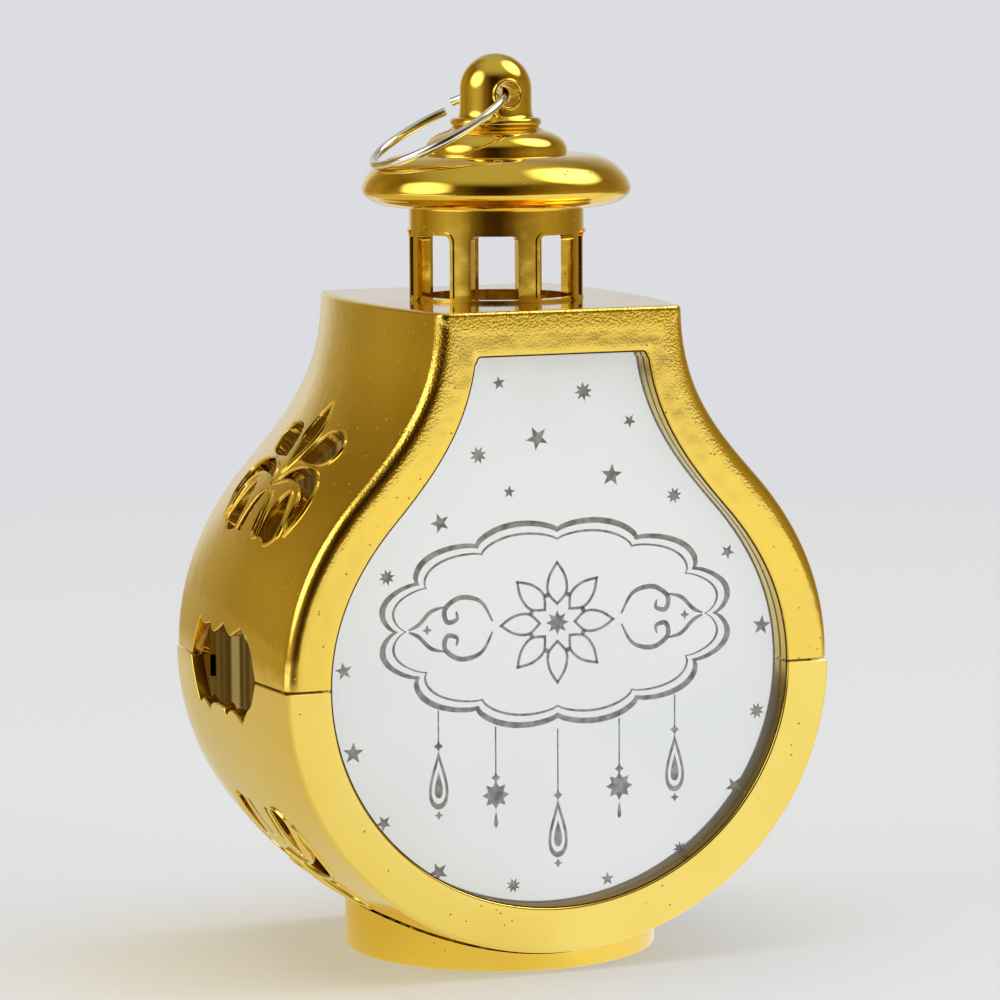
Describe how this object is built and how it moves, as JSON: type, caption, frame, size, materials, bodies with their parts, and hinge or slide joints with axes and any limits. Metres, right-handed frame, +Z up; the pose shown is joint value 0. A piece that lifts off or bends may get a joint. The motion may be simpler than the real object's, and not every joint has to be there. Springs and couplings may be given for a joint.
{
  "type": "decorative led lantern",
  "caption": "Small plated LED lantern: flat round-bellied body with framed panels, pierced sides, domed gallery top, hanging ring and battery foot.",
  "frame": {"origin": "middle of the foot's underside, on the surface the lantern stands on", "axes": "+Z up through the knob, -Y out of the front panel, +X to the right seen from the front"},
  "size_m": [0.0912, 0.0548, 0.14],
  "materials": {
    "plated_shell": "vacuum-plated mirror gold over moulded plastic",
    "plated_trim": "vacuum-plated mirror gold, polished",
    "printed_panel": "pale silver-grey sheet with a printed pattern",
    "ring_wire": "bright nickel-plated steel wire",
    "screw_steel": "bright zinc-plated steel",
    "cell_steel": "nickel-plated cell can",
    "contact_metal": "nickel-plated spring steel",
    "board": "green circuit board",
    "white_plastic": "plain white moulding",
    "led_resin": "warm clear resin",
    "black_plastic": "plain black moulding"
  },
  "bodies": {
    "lantern": {"upper_shell": "plated_shell", "lower_shell": "plated_shell", "foot": "plated_trim", "gallery": "plated_trim", "roof": "plated_trim", "knob": "plated_trim", "front_panel": "printed_panel", "back_panel": "printed_panel", "foot_screw_left": "screw_steel", "foot_screw_right": "screw_steel", "button_cell_1": "cell_steel", "button_cell_2": "cell_steel", "button_cell_3": "cell_steel", "contact_plate": "contact_metal", "contact_spring": "contact_metal", "led_board": "board", "led_holder": "white_plastic", "led": "led_resin", "switch_body": "black_plastic"},
    "hanging_ring": {"hanging_ring": "ring_wire"},
    "battery_door": {"battery_door": "plated_trim", "door_screw": "screw_steel"},
    "switch_slider": {"switch_slider": "black_plastic"}
  },
  "joints": [
    {"name": "ring_swing", "type": "hinge", "parent": "lantern", "child": "hanging_ring", "pos_m": [0, 0, 0.1337], "axis": [0, 1, 0], "range_deg": [0, 236]},
    {"name": "door_release", "type": "slide", "parent": "lantern", "child": "battery_door", "axis": [0, 0, -1], "range_m": [0, 0.015]},
    {"name": "switch_travel", "type": "slide", "parent": "lantern", "child": "switch_slider", "axis": [1, 0, 0], "range_m": [0, 0.0024]}
  ]
}
